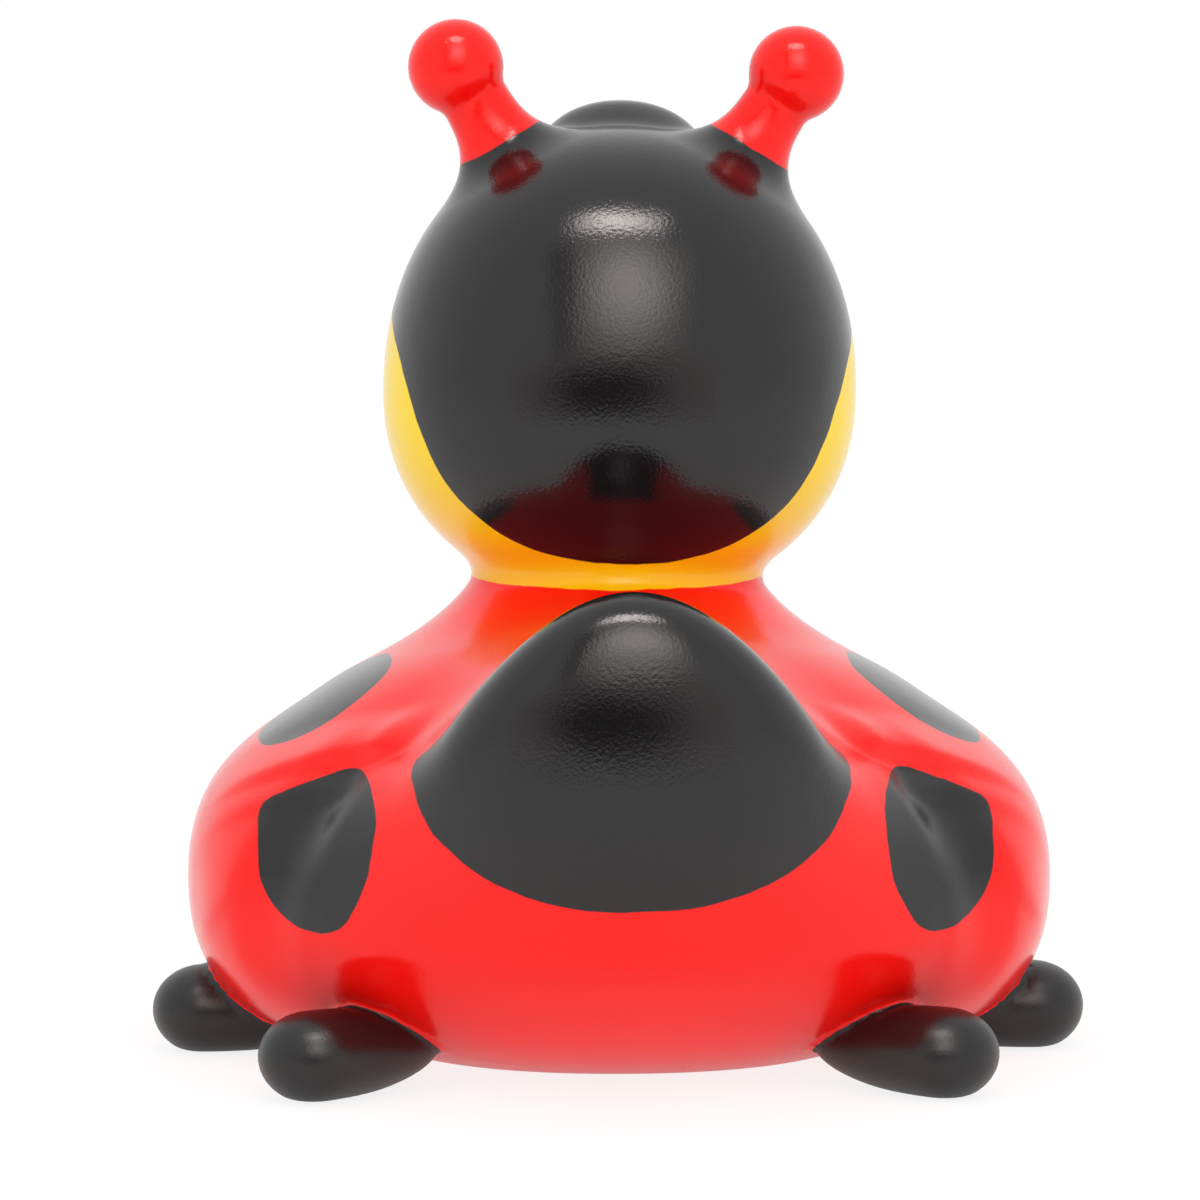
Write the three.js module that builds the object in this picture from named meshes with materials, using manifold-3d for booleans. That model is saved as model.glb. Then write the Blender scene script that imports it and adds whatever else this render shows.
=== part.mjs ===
// A rubber duck dressed as a ladybird: one hollow vinyl moulding, painted all over.
// Millimetres, +Z up. The duck faces -Y, its tail points to +Y, and it stands on z = 0.
// The outside is one smooth skin round rounded volumes that flow into each other. Each volume is a
// function of a point that is about the distance to its surface: below 0 inside, above 0 outside.
import * as THREE from "three";
import { mergeVertices } from "three/addons/utils/BufferGeometryUtils.js";
import Module from "manifold-3d";

// Body: a broad egg that is widest low down, flat underneath, with a fuller breast and rump.
const BODY_HALF_WIDTH = 35.4;
const BODY_HALF_LENGTH = 32;
const BODY_MIDDLE_Y = -1;
const BODY_WIDEST_Z = 14.8;
const BODY_RISE = 21.6;
const BODY_DEPTH = 16.4;
const BODY_SQUARENESS = 2.2;
const BREAST_HALF_WIDTH = 30;
const BREAST_REACH = 36.5;
const RUMP_HALF_WIDTH = 31;
const RUMP_REACH = 36;
const RUMP_LIFT = 4.5;

// Neck and head.
const NECK_RADIUS = 10;
const NECK_Y = -8;
const HEAD_Y = -9;
const HEAD_HALF_WIDTH = 20.6;
const HEAD_ABOVE_BACK = 19.9;
const HEAD_RISE = 23;
const HEAD_DROP = 18.3;
const HEAD_SQUARENESS = 2.15;

// Tail: a blunt upturned bowl under a rounded roof, which meet in a rim.
const TAIL_REACH = 42;
const TAIL_HALF_WIDTH = 23.5;
const TAIL_MIDDLE_Y = 12;
const TAIL_WIDEST_Z = 31;
const TAIL_LIFT = 7;
const TAIL_APEX_Y = 35;
const TAIL_APEX_Z = 43;
const TAIL_SLOPE = 0.39;
const TAIL_ROOF_FALL = 1.3;
const TAIL_ROOF_ROUNDING = 11.3;
const TYPICAL_SHARE_OF_FALL = 0.7;
const TAIL_RIM_ROUNDING = 3;

// Folded wings: a long egg on each flank whose feathers lie like shingles. Each feather ends below in
// a ridge that is highest near its tip, towards the tail, and fades out further forward.
const WING_REACH = 37;
const WING_HALF_WIDTH = 13;
const WING_HALF_LENGTH = 22;
const WING_MIDDLE_Y = 0;
const WING_MIDDLE_Z = 15.5;
const WING_RISE = 12.5;
const WING_DROP = 13.5;
const WING_SQUARENESS = 2.3;
const FEATHER_TIPS = [
  [20.6, 21.5, 28.5],
  [25.8, 20, 24.9],
  [31, 18.5, 17.5],
];
const FEATHER_ROOTS = [
  [34, 2, 25],
  [36.5, 2, 20.5],
  [37.5, 4, 13],
];
const FEATHER_HEIGHTS = [1.2, 0.9, 0.7];
const FEATHER_STEP = 2.6;
const FEATHER_BREADTH = 6;
const FEATHER_TIP_FADE = 4;
const FEATHER_DEPTH = 7;

// Feet: six eggs that peep out from under the body, three on each side, flat underneath.
const FOOT_HEIGHT = 7.7;
const FOOT_WIDTH = 9.5;
const FOOT_ROUND_END = 4.4;
const FOOT_TAPER = 13;
const FOOT_SINK = 0.25;
const MIDDLE_FOOT_REACH = 40.3;
const MIDDLE_FOOT_Y = 1;
const REAR_FOOT_REACH = 30.7;
const REAR_FOOT_Y = 26;
const FRONT_FOOT_REACH = 30.7;
const FRONT_FOOT_Y = -25;
const OUTER_FEET_TURN = 38;

// Antennae, turned about their own axis, and the small crest between them.
const BALL_RADIUS = 4.15;
const BALL_APART = 29.6;
const BALL_ABOVE_HEAD = 4.9;
const STALK_RADIUS = 2.75;
const STALK_ROOT_RADIUS = 5.2;
const STALK_ROOT_APART = 19.6;
const STALK_FLARE_SHARE = 0.6;
const CREST_HALF_WIDTH = 7;
const CREST_HALF_LENGTH = 5;
const CREST_FORWARD = 7;
const CREST_ABOVE_HEAD = 2.1;
const CREST_ROOT_DEPTH = 2.2;

// Bill, on the front of the head: two flat lips that curl up towards their tips.
const BILL_HALF_WIDTH = 9;
const BILL_REACH = 42.2;
const BILL_ROOT_DEPTH = 4;
const UPPER_LIP_THICKNESS = 4.4;
const LOWER_LIP_THICKNESS = 3.4;
const LOWER_LIP_SHARE = 0.78;
const LIP_OVERLAP = 0.5;
const LIP_CURL = 2.2;
const BILL_BELOW_HEAD = 4.5;

// How softly the volumes flow into each other.
const NECK_FILLET = 12;
const CHIN_FILLET = 2;
const RUMP_FILLET = 6;
const TAIL_FILLET = 7;
const WING_FILLET = 3;
const CREST_FILLET = 2.2;
const FLOOR_ROUNDING = 1;

// Moulding: the wall, and the air hole in the base.
const WALL = 2.2;
const CUT_ROOM = 10;
const AIR_HOLE_DIAMETER = 3;
const AIR_HOLE_Y = -4;

// Size of the facets: the outside is finer than the cavity.
const SKIN_CELL = 2.75;
const CAVITY_CELL = 7;
const EVENING_PASSES = 3;
const GRADIENT_STEP = 0.01;
const SHALLOWEST_SLOPE = 0.05;
const BARELY_INSIDE = 0.01;
const EGG_SIDES = 16;
const EGG_RINGS = 11;
const LIP_SIDES = 20;
const LIP_RINGS = 13;
const ANTENNA_SIDES = 16;
const ANTENNA_CURVE_STEPS = 7;
const HOLE_SIDES = 24;
const WELD = 1e-4;

// Two volumes joined, or a volume cut by another, with the edge rounded over the given reach.
function joined(a, b, reach) {
  const near = Math.max(reach - Math.abs(a - b), 0) / reach;
  return Math.min(a, b) - (near * near * reach) / 4;
}

function common(a, b, reach) {
  return -joined(-a, -b, reach);
}

// An egg about a middle point, with its own reach up and down and a squareness of 2 for an ellipsoid.
function egg(middle, halfWidth, halfLength, rise, drop, squareness) {
  return (x, y, z) => {
    const up = z - middle.z;
    const reach = [halfWidth, halfLength, up > 0 ? rise : drop];
    const parts = [x - middle.x, y - middle.y, up].map((d, i) => Math.abs(d) / reach[i]);
    const total = parts.reduce((sum, part) => sum + part ** squareness, 0);
    const size = Math.max(total, 1e-9) ** (1 / squareness);
    const slope = parts.map((part, i) => (part / size) ** (squareness - 1) / reach[i]);
    return (size - 1) / Math.max(Math.hypot(...slope), 1e-6);
  };
}

// An upright post with a round section and round ends.
function post(x0, y0, bottom, top, radius) {
  return (x, y, z) => {
    const beyond = z - THREE.MathUtils.clamp(z, bottom, top);
    return Math.hypot(x - x0, y - y0, beyond) - radius;
  };
}

const at = (x, y, z) => new THREE.Vector3(x, y, z);

const BACK_Z = BODY_WIDEST_Z + BODY_RISE;
const HEAD_Z = BACK_Z + HEAD_ABOVE_BACK;
const HEAD_TOP_Z = HEAD_Z + HEAD_RISE;

const bodyMiddle = at(0, BODY_MIDDLE_Y, BODY_WIDEST_Z);
const trunk = egg(bodyMiddle, BODY_HALF_WIDTH, BODY_HALF_LENGTH, BODY_RISE, BODY_DEPTH, BODY_SQUARENESS);

// The breast and rump are eggs whose far ends stand at their reach in front of and behind the origin.
const BREAST_MIDDLE_Y = BODY_MIDDLE_Y - BODY_HALF_LENGTH / 4;
const RUMP_MIDDLE_Y = BODY_MIDDLE_Y + BODY_HALF_LENGTH / 4;
const breast = egg(
  at(0, BREAST_MIDDLE_Y, BODY_WIDEST_Z),
  BREAST_HALF_WIDTH,
  BREAST_REACH + BREAST_MIDDLE_Y,
  BODY_RISE,
  BODY_DEPTH,
  2,
);
const rump = egg(
  at(0, RUMP_MIDDLE_Y, BODY_WIDEST_Z),
  RUMP_HALF_WIDTH,
  RUMP_REACH - RUMP_MIDDLE_Y,
  BODY_RISE,
  BODY_WIDEST_Z - RUMP_LIFT,
  2,
);

const neck = post(0, NECK_Y, BODY_WIDEST_Z, HEAD_Z, NECK_RADIUS);
const head = egg(
  at(0, HEAD_Y, HEAD_Z),
  HEAD_HALF_WIDTH,
  HEAD_HALF_WIDTH,
  HEAD_RISE,
  HEAD_DROP,
  HEAD_SQUARENESS,
);

const bowl = egg(
  at(0, TAIL_MIDDLE_Y, TAIL_WIDEST_Z),
  TAIL_HALF_WIDTH,
  TAIL_REACH - TAIL_MIDDLE_Y,
  TAIL_WIDEST_Z,
  TAIL_WIDEST_Z - TAIL_LIFT,
  2,
);

// The roof of the tail rises to the apex and falls away to both sides.
function roof(x, y, z) {
  const ridge = TAIL_APEX_Z + TAIL_SLOPE * (y - TAIL_APEX_Y);
  const fall = TAIL_ROOF_FALL * (Math.hypot(x, TAIL_ROOF_ROUNDING) - TAIL_ROOF_ROUNDING);
  return (z - ridge + fall) / Math.hypot(1, TAIL_SLOPE, TAIL_ROOF_FALL * TYPICAL_SHARE_OF_FALL);
}

const tail = (x, y, z) => common(bowl(x, y, z), roof(x, y, z), TAIL_RIM_ROUNDING);

// The hollow core: everything that the cavity follows.
function core(x, y, z) {
  let d = joined(trunk(x, y, z), breast(x, y, z), RUMP_FILLET);
  d = joined(d, rump(x, y, z), RUMP_FILLET);
  d = joined(d, tail(x, y, z), TAIL_FILLET);
  d = joined(d, neck(x, y, z), NECK_FILLET);
  return joined(d, head(x, y, z), CHIN_FILLET);
}

const wing = egg(
  at(WING_REACH - WING_HALF_WIDTH, WING_MIDDLE_Y, WING_MIDDLE_Z),
  WING_HALF_WIDTH,
  WING_HALF_LENGTH,
  WING_RISE,
  WING_DROP,
  WING_SQUARENESS,
);

// How far one feather lifts the skin at a point: a gentle rise down the feather to the ridge along
// its lower edge, and a steep fall below that.
function feather(tip, root, height) {
  const along = root.clone().sub(tip);
  const length = along.length();
  along.normalize();
  const outwards = gradient(trunk, tip.clone().lerp(root, 0.5));
  const across = outwards.cross(along).normalize();
  if (across.z < 0) across.negate();
  const outer = along.clone().cross(across).normalize();
  if (outer.x < 0) outer.negate();
  const { smoothstep } = THREE.MathUtils;
  return (x, y, z) => {
    const offset = at(x, y, z).sub(tip);
    const forwards = offset.dot(along);
    const above = offset.dot(across);
    const lengthwise = smoothstep(forwards, -FEATHER_TIP_FADE, 0) * (1 - smoothstep(forwards, 0, length));
    const crosswise = smoothstep(above, -FEATHER_STEP, 0) * (1 - smoothstep(above, 0, FEATHER_BREADTH));
    return height * lengthwise * crosswise * smoothstep(offset.dot(outer), -FEATHER_DEPTH, 0);
  };
}
const feathers = FEATHER_HEIGHTS.map((height, i) =>
  feather(at(...FEATHER_TIPS[i]), at(...FEATHER_ROOTS[i]), height),
);

const crest = egg(
  at(0, HEAD_Y - CREST_FORWARD, HEAD_TOP_Z - CREST_ROOT_DEPTH),
  CREST_HALF_WIDTH,
  CREST_HALF_LENGTH,
  CREST_ABOVE_HEAD + CREST_ROOT_DEPTH,
  CREST_HALF_LENGTH,
  2,
);

// The soft forms: the core with the wings and the crest. Left and right are alike, so a paired volume
// is written once, for +X.
function softForms(x, y, z) {
  const side = Math.abs(x);
  const feathered = joined(core(x, y, z), wing(side, y, z), WING_FILLET);
  const d = feathers.reduce((value, lift) => value - lift(side, y, z), feathered);
  return joined(d, crest(x, y, z), CREST_FILLET);
}

const cavity = (x, y, z) => common(core(x, y, z) + WALL, WALL - z, FLOOR_ROUNDING);

// Direction in which a volume's value grows fastest, and how fast.
function gradient(volume, p) {
  const e = GRADIENT_STEP;
  return at(
    volume(p.x + e, p.y, p.z) - volume(p.x - e, p.y, p.z),
    volume(p.x, p.y + e, p.z) - volume(p.x, p.y - e, p.z),
    volume(p.x, p.y, p.z + e) - volume(p.x, p.y, p.z - e),
  ).divideScalar(2 * e);
}

// Walks a point onto the surface of a volume.
function settle(volume, p, steps) {
  for (let i = 0; i < steps; i++) {
    const value = volume(p.x, p.y, p.z);
    const slope = gradient(volume, p);
    p.addScaledVector(slope, -value / Math.max(slope.lengthSq(), SHALLOWEST_SLOPE));
  }
  return p;
}

// The skin of a volume inside a box, as triangles: one vertex in each grid cell that the surface
// passes through, and one four-sided face across each grid edge that it cuts.
function skin(volume, box, cell) {
  const count = box.getSize(at(0, 0, 0)).divideScalar(cell).ceil().addScalar(1);
  const [nx, ny, nz] = count.toArray();
  const middle = box.getCenter(at(0, 0, 0));
  const place = (i, j, k) =>
    at(i - (nx - 1) / 2, j - (ny - 1) / 2, k - (nz - 1) / 2).multiplyScalar(cell).add(middle);
  const index = (i, j, k) => i + nx * (j + ny * k);
  const values = new Float64Array(nx * ny * nz);
  for (let k = 0; k < nz; k++)
    for (let j = 0; j < ny; j++)
      for (let i = 0; i < nx; i++) values[index(i, j, k)] = volume(...place(i, j, k).toArray());

  const steps = [1, nx, nx * ny];
  fillPinches(values, steps);
  const corners = [0, 1, 2, 3, 4, 5, 6, 7];
  const corner = (c) => (c & 1) + nx * ((c >> 1) & 1) + nx * ny * (c >> 2);
  const vertexOf = new Int32Array(values.length).fill(-1);
  const positions = [];
  for (let k = 0; k < nz - 1; k++)
    for (let j = 0; j < ny - 1; j++)
      for (let i = 0; i < nx - 1; i++) {
        const here = index(i, j, k);
        const inside = corners.filter((c) => values[here + corner(c)] < 0);
        if (inside.length === 0 || inside.length === 8) continue;
        const sum = at(0, 0, 0);
        let cuts = 0;
        for (const c of inside)
          for (let axis = 0; axis < 3; axis++) {
            const other = c ^ (1 << axis);
            const a = values[here + corner(c)];
            const b = values[here + corner(other)];
            if (b < 0) continue;
            const from = place(i + (c & 1), j + ((c >> 1) & 1), k + (c >> 2));
            const to = place(i + (other & 1), j + ((other >> 1) & 1), k + (other >> 2));
            sum.add(from.lerp(to, a / (a - b)));
            cuts++;
          }
        vertexOf[here] = positions.length / 3;
        positions.push(...settle(volume, sum.divideScalar(cuts), 2).toArray());
      }

  const faces = [];
  for (let k = 1; k < nz - 1; k++)
    for (let j = 1; j < ny - 1; j++)
      for (let i = 1; i < nx - 1; i++) {
        const here = index(i, j, k);
        for (let axis = 0; axis < 3; axis++) {
          const next = here + steps[axis];
          if (values[here] < 0 === values[next] < 0) continue;
          const u = steps[(axis + 1) % 3];
          const v = steps[(axis + 2) % 3];
          const ring = [here, here - u, here - u - v, here - v].map((n) => vertexOf[n]);
          if (values[here] > 0) ring.reverse();
          faces.push(ring[0], ring[1], ring[2], ring[0], ring[2], ring[3]);
        }
      }
  const geometry = new THREE.BufferGeometry();
  geometry.setAttribute("position", new THREE.Float32BufferAttribute(evened(volume, positions, faces), 3));
  geometry.setIndex(faces);
  return geometry;
}

// Fills each pinch of a grid, where two inside corners of a cell's face meet only across its diagonal,
// because a skin that touches itself along an edge is not one closed surface.
function fillPinches(values, steps) {
  let filled = true;
  while (filled) {
    filled = false;
    for (let axis = 0; axis < 3; axis++) {
      const u = steps[axis];
      const v = steps[(axis + 1) % 3];
      for (let n = 0; n < values.length - u - v; n++) {
        const ring = [n, n + u, n + u + v, n + v];
        const [a, b, c, d] = ring.map((i) => values[i] < 0);
        if (a !== c || b !== d || a === b) continue;
        const outer = ring.filter((i) => values[i] >= 0);
        const nearest = values[outer[0]] < values[outer[1]] ? outer[0] : outer[1];
        values[nearest] = -BARELY_INSIDE;
        filled = true;
      }
    }
  }
}

// Evens out the facets: each vertex moves to the middle of its neighbours and back onto the surface.
function evened(volume, positions, faces) {
  const points = positions;
  for (let pass = 0; pass < EVENING_PASSES; pass++) {
    const sums = new Float64Array(points.length);
    const counts = new Float64Array(points.length / 3);
    for (let f = 0; f < faces.length; f++) {
      const a = faces[f];
      const b = faces[f % 3 === 2 ? f - 2 : f + 1];
      for (let axis = 0; axis < 3; axis++) sums[3 * a + axis] += points[3 * b + axis];
      counts[a]++;
    }
    for (let v = 0; v < counts.length; v++) {
      const p = at(sums[3 * v], sums[3 * v + 1], sums[3 * v + 2]).divideScalar(counts[v]);
      settle(volume, p, 2).toArray(points, 3 * v);
    }
  }
  return points;
}

const wasm = await Module();
wasm.setup();

// A closed geometry as a solid that can be joined and cut.
function solidOf(geometry) {
  const bare = new THREE.BufferGeometry().setAttribute("position", geometry.getAttribute("position"));
  if (geometry.index) bare.setIndex(geometry.index);
  const merged = mergeVertices(bare, WELD);
  return new wasm.Manifold(
    new wasm.Mesh({
      numProp: 3,
      vertProperties: merged.attributes.position.array,
      triVerts: new Uint32Array(merged.index.array),
    }),
  );
}

function geometryOf(solid) {
  const mesh = solid.getMesh();
  const geometry = new THREE.BufferGeometry();
  geometry.setAttribute("position", new THREE.BufferAttribute(mesh.vertProperties, 3));
  geometry.setIndex(new THREE.BufferAttribute(mesh.triVerts, 1));
  geometry.computeVertexNormals();
  return geometry;
}

// A box round the soft forms, worked out from their furthest reaches, with room for the grid.
function reachBox(room) {
  const halfX = Math.max(BODY_HALF_WIDTH, WING_REACH, HEAD_HALF_WIDTH) + Math.max(...FEATHER_HEIGHTS);
  const front = Math.max(BREAST_REACH, BODY_HALF_LENGTH - BODY_MIDDLE_Y, HEAD_HALF_WIDTH - HEAD_Y);
  const rear = Math.max(TAIL_REACH, RUMP_REACH, BODY_HALF_LENGTH + BODY_MIDDLE_Y);
  const top = HEAD_TOP_Z + CREST_ABOVE_HEAD;
  const floor = BODY_WIDEST_Z - BODY_DEPTH;
  return new THREE.Box3(
    at(-halfX - room, -front - room, floor - room),
    at(halfX + room, rear + room, top + room),
  );
}

// A foot: half an egg to the round end outside and a longer half that tapers in under the body.
function footGeometry(reach, y, turn) {
  const geometry = new THREE.SphereGeometry(1, EGG_SIDES, EGG_RINGS).rotateZ(-Math.PI / 2);
  const position = geometry.getAttribute("position");
  for (let i = 0; i < position.count; i++) {
    const x = position.getX(i);
    position.setX(i, x * (x > 0 ? FOOT_ROUND_END : FOOT_TAPER));
  }
  geometry.scale(1, FOOT_WIDTH / 2, FOOT_HEIGHT / 2);
  geometry.rotateZ(THREE.MathUtils.degToRad(turn));
  return geometry.translate(reach - FOOT_ROUND_END, y, FOOT_HEIGHT / 2 - FOOT_SINK);
}

// An antenna: a stalk that narrows from a flared root and a ball at its end, as one turned profile.
function antennaGeometry() {
  const root = at(STALK_ROOT_APART / 2, HEAD_Y, HEAD_TOP_Z - STALK_ROOT_RADIUS);
  const ball = at(BALL_APART / 2, HEAD_Y, HEAD_TOP_Z + BALL_ABOVE_HEAD);
  const axis = ball.clone().sub(root);
  const length = axis.length();
  const neckAngle = -Math.acos(STALK_RADIUS / BALL_RADIUS);
  const neck = length + BALL_RADIUS * Math.sin(neckAngle);
  const profile = new THREE.Path()
    .moveTo(0, 0)
    .lineTo(STALK_ROOT_RADIUS, 0)
    .quadraticCurveTo(STALK_RADIUS, neck * STALK_FLARE_SHARE, STALK_RADIUS, neck)
    .absarc(0, length, BALL_RADIUS, neckAngle, Math.PI / 2, false);
  const points = profile.getPoints(ANTENNA_CURVE_STEPS);
  points[points.length - 1].setX(0);
  const geometry = new THREE.LatheGeometry(points, ANTENNA_SIDES);
  geometry.applyQuaternion(new THREE.Quaternion().setFromUnitVectors(at(0, 1, 0), axis.normalize()));
  return geometry.translate(root.x, root.y, root.z);
}

// One lip of the bill: a flat oval that leaves the head's front and curls up.
function lipGeometry(share, thickness, z) {
  const rootY = HEAD_Y - HEAD_HALF_WIDTH + BILL_ROOT_DEPTH;
  const length = (BILL_REACH + rootY) * share;
  const geometry = new THREE.SphereGeometry(1, LIP_SIDES, LIP_RINGS);
  geometry.scale(BILL_HALF_WIDTH * share, length, thickness / 2);
  const position = geometry.getAttribute("position");
  for (let i = 0; i < position.count; i++) {
    const along = position.getY(i) / length;
    position.setZ(i, position.getZ(i) + LIP_CURL * along * along);
  }
  return geometry.translate(0, rootY, z);
}

function billGeometries() {
  const middle = HEAD_Z - BILL_BELOW_HEAD;
  const upper = lipGeometry(1, UPPER_LIP_THICKNESS, middle + UPPER_LIP_THICKNESS / 2 - LIP_OVERLAP);
  const lower = lipGeometry(LOWER_LIP_SHARE, LOWER_LIP_THICKNESS, middle - LOWER_LIP_THICKNESS / 2);
  return [upper, lower];
}

// Copies a solid's geometry to the other side of the duck, with its faces turned the right way round.
function mirrored(geometry) {
  const other = geometry.clone().scale(-1, 1, 1);
  const index = other.index.array;
  for (let i = 0; i < index.length; i += 3) [index[i], index[i + 1]] = [index[i + 1], index[i]];
  return other;
}

function duckGeometry() {
  const paired = [
    footGeometry(MIDDLE_FOOT_REACH, MIDDLE_FOOT_Y, 0),
    footGeometry(REAR_FOOT_REACH, REAR_FOOT_Y, OUTER_FEET_TURN),
    footGeometry(FRONT_FOOT_REACH, FRONT_FOOT_Y, -OUTER_FEET_TURN),
    antennaGeometry(),
  ];
  const added = [...paired, ...paired.map(mirrored), ...billGeometries()];
  const softSkin = skin(softForms, reachBox(2 * SKIN_CELL), SKIN_CELL);
  const outside = added.reduce((solid, geometry) => solid.add(solidOf(geometry)), solidOf(softSkin));

  const hollow = skin(cavity, reachBox(2 * CAVITY_CELL), CAVITY_CELL);
  const size = outside.boundingBox();
  const span = 2 * Math.max(...size.max, ...size.min.map(Math.abs)) + CUT_ROOM;
  const floor = new THREE.BoxGeometry(span, span, CUT_ROOM).translate(0, 0, -CUT_ROOM / 2);
  const drill = new THREE.CylinderGeometry(AIR_HOLE_DIAMETER / 2, AIR_HOLE_DIAMETER / 2, 4 * WALL, HOLE_SIDES);
  drill.rotateX(Math.PI / 2).translate(0, AIR_HOLE_Y, 0);
  return geometryOf([floor, hollow, drill].reduce((solid, cut) => solid.subtract(solidOf(cut)), outside));
}

const paintedVinyl = new THREE.MeshStandardMaterial({ color: 0xe1140f, roughness: 0.25, metalness: 0 });

const duck = new THREE.Mesh(duckGeometry(), paintedVinyl);
duck.name = "duck";

const rubberDuck = new THREE.Group();
rubberDuck.add(duck);

export default rubberDuck;
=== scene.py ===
"""The looks of the ladybird duck: one painted vinyl moulding in a white light tent."""

import logging
import math
from dataclasses import dataclass, field
from enum import Enum
from typing import Callable, Optional, Sequence, Union

import bpy
import numpy as np
from mathutils import Matrix, Vector


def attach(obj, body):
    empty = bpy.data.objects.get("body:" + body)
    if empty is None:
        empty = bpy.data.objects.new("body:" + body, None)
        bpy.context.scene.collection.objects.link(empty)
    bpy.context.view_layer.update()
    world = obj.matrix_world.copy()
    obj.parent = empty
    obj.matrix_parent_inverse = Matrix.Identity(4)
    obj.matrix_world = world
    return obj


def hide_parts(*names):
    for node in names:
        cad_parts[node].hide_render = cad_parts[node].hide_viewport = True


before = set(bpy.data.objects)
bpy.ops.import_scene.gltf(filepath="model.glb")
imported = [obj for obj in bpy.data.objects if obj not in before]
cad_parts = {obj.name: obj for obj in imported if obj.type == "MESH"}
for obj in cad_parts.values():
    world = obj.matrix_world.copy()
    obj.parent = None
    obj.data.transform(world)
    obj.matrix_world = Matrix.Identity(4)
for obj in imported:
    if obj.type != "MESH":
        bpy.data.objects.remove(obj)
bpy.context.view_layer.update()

log = logging.getLogger("duck")

MM = 0.001
Array = np.ndarray
Place = tuple[float, float, float]
Volume = Callable[[Array, Array, Array], Array]
Socket = bpy.types.NodeSocket
Tree = bpy.types.NodeTree


def joined(a: Array, b: Array, reach: float) -> Array:
    """Joins two volumes with a soft edge.

    Args:
        a: Distance to the first volume, below 0 inside.
        b: Distance to the second one.
        reach: How far the edge is rounded, in mm.

    Returns:
        Distance to both together.
    """
    near = np.maximum(reach - np.abs(a - b), 0) / reach
    return np.minimum(a, b) - near * near * (reach / 4)


def common(a: Array, b: Array, reach: float) -> Array:
    """Cuts one volume by another with a soft edge, as joined() does for a union."""
    return -joined(-a, -b, reach)


@dataclass(frozen=True)
class Egg:
    """A rounded volume with its own reach upwards and downwards."""

    middle: tuple[float, float, float]
    half_width: float
    half_length: float
    rise: float
    drop: float
    squareness: float = 2.0

    def __call__(self, x: Array, y: Array, z: Array) -> Array:
        """Distance to the surface at each point, in mm, below 0 inside."""
        up = z - self.middle[2]
        reach_z = np.where(up > 0, self.rise, self.drop)
        parts = [
            np.abs(x - self.middle[0]) / self.half_width,
            np.abs(y - self.middle[1]) / self.half_length,
            np.abs(up) / reach_z,
        ]
        reaches = [self.half_width, self.half_length, reach_z]
        n = self.squareness
        size = np.maximum(sum(p**n for p in parts), 1e-9) ** (1 / n)
        slope = sum((p ** (n - 1) / r) ** 2 for p, r in zip(parts, reaches))
        return (size - 1) / np.maximum(np.sqrt(slope) / size ** (n - 1), 1e-6)


@dataclass(frozen=True)
class Bar:
    """A round bar between two points whose radius changes evenly."""

    start: tuple[float, float, float]
    end: tuple[float, float, float]
    start_radius: float
    end_radius: float

    def __call__(self, x: Array, y: Array, z: Array) -> Array:
        """Distance to the surface at each point, in mm, below 0 inside."""
        along = np.subtract(self.end, self.start)
        dx, dy, dz = x - self.start[0], y - self.start[1], z - self.start[2]
        t = (dx * along[0] + dy * along[1] + dz * along[2]) / (along @ along)
        t = np.clip(t, 0, 1)
        off = (dx - t * along[0]) ** 2 + (dy - t * along[1]) ** 2 + (dz - t * along[2]) ** 2
        return np.sqrt(off) - self.start_radius - t * (self.end_radius - self.start_radius)


def gradient(volume: Volume, points: Array) -> Array:
    """Direction in which a volume's value grows fastest, and how fast.

    Args:
        volume: The volume.
        points: Places in mm, one row each.

    Returns:
        One vector for each place.
    """
    step = 0.01
    out = np.empty_like(points)
    for axis in range(3):
        ahead, behind = points.copy(), points.copy()
        ahead[:, axis] += step
        behind[:, axis] -= step
        out[:, axis] = (volume(*ahead.T) - volume(*behind.T)) / (2 * step)
    return out


def settle(volume: Volume, points: Array, steps: int) -> Array:
    """Walks points onto the surface of a volume.

    Args:
        volume: The volume.
        points: Places in mm, one row each.
        steps: How many times each point moves.

    Returns:
        The places on the surface.
    """
    for _ in range(steps):
        slope = gradient(volume, points)
        value = volume(*points.T)
        points = points - slope * (value / np.maximum((slope**2).sum(1), 0.05))[:, None]
    return points


def smoothly(value: Array, start: float, end: float) -> Array:
    """Goes from 0 to 1 as a value goes from start to end, with a soft beginning and end."""
    share = np.clip((value - start) / (end - start), 0, 1)
    return share * share * (3 - 2 * share)


@dataclass
class Feather:
    """One feather of a folded wing, which lies on the next one like a shingle."""

    form: "DuckForm"
    tip: tuple[float, float, float]
    root: tuple[float, float, float]
    height: float

    def __post_init__(self) -> None:
        """Works out the directions along, across and out of the feather."""
        tip, root = np.array(self.tip, float), np.array(self.root, float)
        self.length = float(np.linalg.norm(root - tip))
        self.along = (root - tip) / self.length
        outwards = gradient(self.form.trunk, ((tip + root) / 2)[None])[0]
        across = np.cross(outwards, self.along)
        across /= np.linalg.norm(across)
        self.across = across if across[2] > 0 else -across
        outer = np.cross(self.along, self.across)
        self.outer = outer if outer[0] > 0 else -outer

    def lift(self, x: Array, y: Array, z: Array) -> Array:
        """How far the feather lifts the skin, in mm: most at the ridge along its lower edge."""
        offset = (x - self.tip[0], y - self.tip[1], z - self.tip[2])

        def part(axis: Array) -> Array:
            """Distance from the tip along an axis."""
            return sum(d * a for d, a in zip(offset, axis))

        forwards, above = part(self.along), part(self.across)
        form = self.form
        lengthwise = smoothly(forwards, -form.feather_tip_fade, 0)
        lengthwise = lengthwise * (1 - smoothly(forwards, 0, self.length))
        crosswise = smoothly(above, -form.feather_step, 0)
        crosswise = crosswise * (1 - smoothly(above, 0, form.feather_breadth))
        return self.height * lengthwise * crosswise * smoothly(part(self.outer), -form.feather_depth, 0)


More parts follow.
